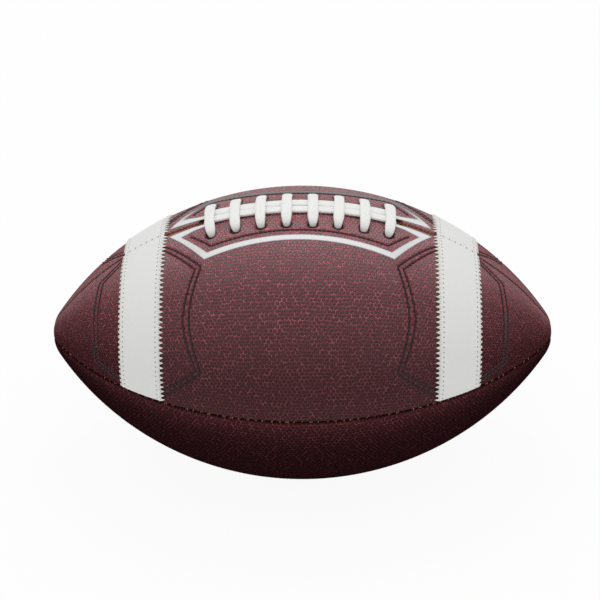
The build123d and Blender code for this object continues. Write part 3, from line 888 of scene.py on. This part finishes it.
def seamStitches(number):
    # pairs of threads across a seam: turn = reach t / radius, depth + sag t^2; those of the lace seam lie
    # between the lacing and the stripes, and beyond the stripes
    form = seamForm
    count = int(2 * (halfArc - form["tipGap"]) / form["pitch"])
    centre = (np.arange(count) - (count - 1) / 2) * form["pitch"]
    if number == panelTurns["back_upper"]:
        centre = centre[np.abs(centre) > arcAt(lacing["slotPlace"] + form["slotGap"])]
        fromStripe = np.abs(np.abs(centre) - arcAt(stripeMiddle))
        centre = centre[fromStripe > stripeForm["width"] * form["stripeShare"]]
    centre = (centre[:, None] + np.array([-0.5, 0.5]) * form["pair"]).reshape(-1, 1)
    station = np.linspace(-1, 1, threadStations)
    arc = centre + form["lean"] * station
    turn = number * quarterTurn + station * form["reach"] / meridian(arc)[1]
    chance = randomSource.uniform(-1, 1, centre.shape)
    depth = form["depth"] + form["vary"] * chance + form["sag"] * station ** 2
    path = shellPoint(arc, turn, depth)
    return path, outwardWay(path, form["outShare"])


# Waxed cotton thread: tan, twisted, with a soft waxy shine
addThreads("seam_thread", seamForm, [seamStitches(number) for number in panelTurns.values()],
           {"Roughness": 0.45}, "waxed cotton thread, tan")

# Lace: a flat coated lace, eight bars over two strands
laceForm = {
    "barPath": ((13.4, -5.5), (13.4, -3.4), (13.2, -1.5), (12.5, 0.1), (10.6, 1.5), (7.6, 2.9), (3.8, 3.6),
                (0.0, 3.6)),
    "barHalf": (2.85, 1.25),
    "strandHalf": (2.8, 1.15),
    "strandOffset": 2.95,
    "strandMiddle": 1.2,
    "strandEnd": ((52.8, -6.0), (52.9, -3.0), (52.8, -0.6), (51.8, 0.9), (49.6, 1.2), (46.0, 1.2)),
    "strandFlat": 40.0,         # half length of the straight stretch
    "strandControls": 15,
    "strandStations": 216,
    "wave": 0.18,               # how far a strand wanders to the side
    "waveLength": 9.0,          # millimetres to a radian
    "wavePhase": 1.3,
    "power": 2.7,               # of the rounded section |a|^p + |b|^p = 1
    "sides": 28,
    "stations": 72,
    "sway": 0.35,               # how far a bar may lie off square, in millimetres
    "swayReach": 15.0,          # at this distance from the seam
    "shiftShare": 0.6,          # of that, how far it may lie to one side
    "swell": 0.04,              # how much its width varies
    "swellWaves": 5,
    "swellPhase": 6.0,
    "taper": 0.62,              # how far a bar narrows as it is drawn into its holes
    "taperReach": 8.5,
    "taperPower": 1.5,
}


def splinePath(controls, count):
    # uniform cubic B-spline through its end points, as a weighted sum of four neighbouring controls
    controls = np.asarray(controls, float)
    controls = np.concatenate([[2 * controls[0] - controls[1]], controls, [2 * controls[-1] - controls[-2]]])
    place = np.linspace(0, len(controls) - 3 - tiny, count)
    first = place.astype(int)
    t = (place - first)[:, None]
    weights = [(1 - t) ** 3, 3 * t ** 3 - 6 * t ** 2 + 4, -3 * t ** 3 + 3 * t ** 2 + 3 * t + 1, t ** 3]
    return sum(weight * controls[first + step] for step, weight in enumerate(weights)) / 6


def laceLine(controls, count):
    # a spline of places and heights, with the upward way (-dh, dp) at each of its points
    line = splinePath(controls, count)
    run = unitWay(np.gradient(line, axis=0))
    return line, np.stack([-run[:, 1], run[:, 0]], 1)


def laceSection(half):
    # superellipse: half width and half thickness times signed powers of cosine and sine
    angle = np.linspace(0, 2 * math.pi, laceForm["sides"], endpoint=False)
    waves = np.stack([np.cos(angle), np.sin(angle)])
    wide, tall = np.sign(waves) * np.abs(waves) ** (2 / laceForm["power"])
    return half[0] * wide, half[1] * tall


def makeBars():
    # the section carried along the path of a bar, drawn narrow at both ends, once for each pair of holes
    form = laceForm
    wide, tall = laceSection(form["barHalf"])
    rightHalf = np.array(form["barPath"])
    line, up = laceLine(np.concatenate([rightHalf * (-1, 1), rightHalf[-2::-1]]), form["stations"])
    run = runLength(line)
    drawn = np.clip(1 - np.minimum(run, run[-1] - run) / form["taperReach"], 0, 1)
    waves = np.linspace(0, form["swellWaves"], form["stations"]) * math.pi
    bars = []
    for place in barPlaces:
        skew, shift, spare = form["sway"] * randomSource.uniform(-1, 1, 3)     # one draw is spare
        phase = randomSource.uniform(0, form["swellPhase"])
        swell = 1 - form["taper"] * drawn ** form["taperPower"] + form["swell"] * np.sin(waves + phase)
        along = place + wide * swell[:, None] + skew * line[:, 0:1] / form["swayReach"]
        across = line[:, 0:1] + up[:, 0:1] * tall + shift * form["shiftShare"]
        bars.append(bedPoint(along, across, line[:, 1:2] + up[:, 1:2] * tall))
    return bars


def makeStrands():
    # the section carried along the seam, on both sides of it, and down through the cover at both ends
    form = laceForm
    wide, tall = laceSection(form["strandHalf"])
    ends = np.array(form["strandEnd"])
    flat = np.linspace(-form["strandFlat"], form["strandFlat"], form["strandControls"])
    flat = np.stack([flat, np.full(len(flat), form["strandMiddle"])], 1)
    line, up = laceLine(np.concatenate([ends * (-1, 1), flat, ends[::-1]]), form["strandStations"])
    along = line[:, 0:1] + up[:, 0:1] * tall
    strands = []
    for side in (-1, 1):
        wave = form["wave"] * np.sin(line[:, 0:1] / form["waveLength"] + form["wavePhase"] * side)
        across = np.broadcast_to(side * form["strandOffset"] + wide + wave, along.shape)
        strands.append(bedPoint(along, across, line[:, 1:2] + up[:, 1:2] * tall))
    return strands


# Coated polyester lace: a braid under a soft white vinyl coat, matte, with a faint uneven weave
laceLook = {"colours": ("#E4E4E2", "#F3F3F1"), "weave": 1.5 * mm, "detail": 2.0, "relief": (0.6, 0.4 * mm)}
laceWhite = tonedMaterial("vinyl coated lace", {"Roughness": 0.65, "IOR": 1.45}, laceLook["colours"],
                          laceLook["weave"], laceLook["detail"], laceLook["relief"])[0]
laceGrids = makeBars() + makeStrands()
laceFaces = []
firstPoint = 0
for grid in laceGrids:
    laceFaces += [[corner + firstPoint for corner in face] for face in tubeFaces(*grid.shape[:2])]
    firstPoint += grid.shape[0] * grid.shape[1]
addPiece("lacing", np.concatenate([grid.reshape(-1, 3) for grid in laceGrids]), laceFaces, laceWhite,
         ["lace"])
print("lace made")

# Border round the lacing: a thin film, as places along the ball and millimetres from the lace seam
borderForm = {
    "outerArm": ((47.0, 2.7), (60.0, 3.1), (72.8, 3.9)),
    "innerArm": ((47.0, 5.0), (57.0, 6.4), (65.0, 9.5)),
    "outerCorner": (51.3, 31.2),
    "innerCorner": (49.8, 27.0),
    "outerMiddle": 26.5,
    "innerMiddle": 22.8,
    "sideSteps": 61,
    "armSteps": 12,
    "awayFrom": (6.0, 22.0),    # millimetres from the seam between which the next four values come in
    "backDraw": 0.86,           # the far side lies a little nearer the lacing
    "backTone": 0.24,           # and is a darker grey there
    "cornerTone": 0.88,         # the near side darkens a little towards its corners
    "cornerFrom": (46.0, 58.0),     # between these places along the ball
    "rimTone": 0.55,
    "lift": 0.22,
    "sink": 0.3,
    "across": 7,
    "colours": ("#DADADB", "#EAEAEA"),
    "grain": 1.2 * mm,
    "detail": 2.0,
}


def borderSide(arm, corner, middle):
    # arm in straight runs, side whose distance from the seam is middle + (corner - middle) t^2, arm mirrored
    share = np.linspace(1, -1, borderForm["sideSteps"])
    side = np.stack([corner[0] * share, middle + (corner[1] - middle) * share ** 2], 1)
    steps = np.linspace(0, 1, borderForm["armSteps"])[:-1, None]
    turns = np.concatenate([arm, side[:1]])
    first = np.concatenate([start + (stop - start) * steps for start, stop in zip(turns[:-1], turns[1:])])
    return np.concatenate([first, side, first[::-1] * (-1, 1)])


# Transfer film: pressed flat into the leather, pale and smooth, a darker grey on the far side away from the
# seam
film, tree, shader, tone = tonedMaterial("pressed transfer film, pale", {"Roughness": 0.5, "IOR": 1.45},
                                         borderForm["colours"], borderForm["grain"], borderForm["detail"])
filmGrey = addNode(tree, "Attribute", {"attribute_name": "filmTone"})
filmGreyed = addNode(tree, "Mix", {"data_type": "RGBA", "blend_type": "MULTIPLY", 0: 1.0}, {6: tone, 7: filmGrey})
setNode(shader, {}, {"Base Color": filmGreyed})


def makeBorder(sideName, back):
    # a grid from the inner line to the outer one, its top above the cover and its underside below
    form = borderForm
    outerLine = borderSide(form["outerArm"], form["outerCorner"], form["outerMiddle"])
    innerLine = borderSide(form["innerArm"], form["innerCorner"], form["innerMiddle"])
    share = np.linspace(0, 1, form["across"])
    across = innerLine[:, None] + (outerLine - innerLine)[:, None] * share[:, None]
    along, fromLace = across[..., 0], across[..., 1]
    away = np.interp(fromLace, form["awayFrom"], (0, 1))
    if back:
        fromLace = fromLace * (1 - (1 - form["backDraw"]) * away)
        shade = 1 - (1 - form["backTone"]) * away
    else:
        shade = 1 - (1 - form["cornerTone"]) * np.interp(np.abs(along), form["cornerFrom"], (0, 1)) * away
    shade = shade * np.where(np.isin(share, (0, 1)), form["rimTone"], 1)
    turn = turnAt(along, fromLace)
    turn = math.pi - turn if back else turn
    top, under = [onCover(arcAt(along), turn, np.full(along.shape, lift))[0]
                  for lift in (form["lift"], -form["sink"])]
    points = np.concatenate([top, under[:, ::-1]], 1)
    piece = addPiece("border_" + sideName, points, tubeFaces(*points.shape[:2]), film)
    setAttribute(piece, "filmTone", "FLOAT", "value", np.concatenate([shade, shade[:, ::-1]], 1))


makeBorder("front", False)
makeBorder("back", True)
print("border made")

# Layers inside and the valve keep their CAD shapes and get their own finishes: by the start of a node's name,
# the material, its two tones, its grain and its roughness
insideLook = {
    "lining": ("laminated cotton canvas", ("#B5A98C", "#C9BEA2"), 0.9 * mm, 0.85),  # woven, dull
    "backing": ("woven backing cloth", ("#9A9078", "#B0A68C"), 0.7 * mm, 0.85),     # woven finer, dull
    "facing": ("split leather", ("#5F4430", "#7A5A3E"), 1.4 * mm, 0.8),             # cut, a fibrous nap
    "lace_tongue": ("soft split leather", ("#684A34", "#825F43"), 1.4 * mm, 0.8),   # cut and softened
    "bladder": ("moulded butyl rubber", ("#191919", "#232323"), 2.0 * mm, 0.6),     # moulded, black, dull
    "valve": ("moulded valve rubber", ("#262626", "#1C1C1C"), 1.0 * mm, 0.5),       # moulded, sleeker
}
insideForm = {"gloss": 0.2, "detail": 3.0, "relief": (0.5, 0.1 * mm)}
for start, (name, colours, grain, roughness) in insideLook.items():
    sockets = {"Roughness": roughness, "Specular IOR Level": insideForm["gloss"]}
    material = tonedMaterial(name, sockets, colours, grain, insideForm["detail"], insideForm["relief"])[0]
    for nodeName, node in nodes.items():
        if nodeName.startswith(start):
            node.data.materials.clear()
            node.data.materials.append(material)
print("inner layers finished")

# Studio: pale floor, soft light from above, white to the camera
studio = {
    "floorSize": 40.0,
    "floorDrop": 84.5 * mm,
    "floorColour": "#F4F4F4",
    "floorRoughness": 0.9,
    "floorShare": 0.93,         # of the floor's look that is plain white to the camera
    "topLight": 0.84,
    "lowLight": 0.5,
    "lightFrom": (-0.7, 0.8),   # heights on the light's axis between which the dome brightens
    "lightAxis": (0.0, -0.35, 0.937),
    "lampPlace": (0.0, 0.22, 0.9),
    "lampSize": (0.2, 0.08),
    "lampPower": 1.6,
    "cameraReach": 1040 * mm,
    "elevation": 35.6,
    "swing": 1.3,               # the ball's right end lies a little nearer
    "lens": 108.7,
    "sensor": 36.0,
    "shift": (-0.0033, 0.054),
}


def placeObject(name, data):
    thing = bpy.data.objects.new(name, data)
    bpy.context.scene.collection.objects.link(thing)
    return thing


corners = studio["floorSize"] * np.array([(-1, -1, 0), (1, -1, 0), (1, 1, 0), (-1, 1, 0)])
floorMesh = bpy.data.meshes.new("studio_floor")
floorMesh.from_pydata((corners - (0, 0, studio["floorDrop"])).tolist(), [], [(0, 1, 2, 3)])
floor = placeObject("studio_floor", floorMesh)
floorPaper, tree, shader = startMaterial("matte floor paper", {"Base Color": studio["floorColour"],
                                                               "Roughness": studio["floorRoughness"]})
rays = addNode(tree, "LightPath").outputs
seen = addNode(tree, "Math", {"operation": "MAXIMUM"}, {0: rays["Is Camera Ray"], 1: rays["Is Glossy Ray"]})
seenAll = addNode(tree, "Math", {"operation": "MAXIMUM"}, {0: seen, 1: rays["Is Transmission Ray"]})
shown = addNode(tree, "Math", {"operation": "MULTIPLY", 1: studio["floorShare"]}, {0: seenAll})
white = addNode(tree, "Emission", {"Strength": 1.0})
paper = addNode(tree, "MixShader", {}, {0: shown, 1: shader, 2: white})
setNode(tree.nodes["Material Output"], {}, {"Surface": paper})
floorMesh.materials.append(floorPaper)

world = bpy.data.worlds.new("studio")
bpy.context.scene.world = world
world.use_nodes = True
tree = world.node_tree
lookWay = addNode(tree, "TexCoord")
rise = addNode(tree, "VectorMath", {"operation": "DOT_PRODUCT", 1: studio["lightAxis"]},
               {0: lookWay.outputs["Generated"]})
level = addNode(tree, "MapRange", {"interpolation_type": "SMOOTHSTEP", "From Min": studio["lightFrom"][0],
                                   "From Max": studio["lightFrom"][1], "To Min": studio["lowLight"],
                                   "To Max": studio["topLight"]}, {"Value": rise})
dome = addNode(tree, "Background", {"Color": (1, 1, 1, 1)}, {"Strength": level})
setNode(tree.nodes["World Output"], {}, {"Surface": dome})

lampData = bpy.data.lights.new("overhead_softbox", "AREA")
lampData.shape = "RECTANGLE"
lampData.size, lampData.size_y = studio["lampSize"]
lampData.energy = studio["lampPower"]
lamp = placeObject("overhead_softbox", lampData)
lamp.location = studio["lampPlace"]
lamp.rotation_euler = (-Vector(studio["lampPlace"])).to_track_quat("-Z", "Y").to_euler()

cameraData = bpy.data.cameras.new("camera")
cameraData.sensor_width = studio["sensor"]
cameraData.lens = studio["lens"]
cameraData.shift_x, cameraData.shift_y = studio["shift"]
camera = placeObject("camera", cameraData)
lift, swing = math.radians(studio["elevation"]), math.radians(studio["swing"])
upWay = np.array([0, math.sin(lift), math.cos(lift)])
sideWay = np.array([1.0, 0, 0])
backWay = math.cos(swing) * np.array([0, -math.cos(lift), math.sin(lift)]) + math.sin(swing) * sideWay
camera.matrix_world = Matrix(np.column_stack([np.cross(upWay, backWay), upWay, backWay]).tolist()).to_4x4()
camera.location = Vector(backWay * studio["cameraReach"])
bpy.context.scene.camera = camera
bpy.context.scene.view_settings.view_transform = "Standard"
print("studio set")
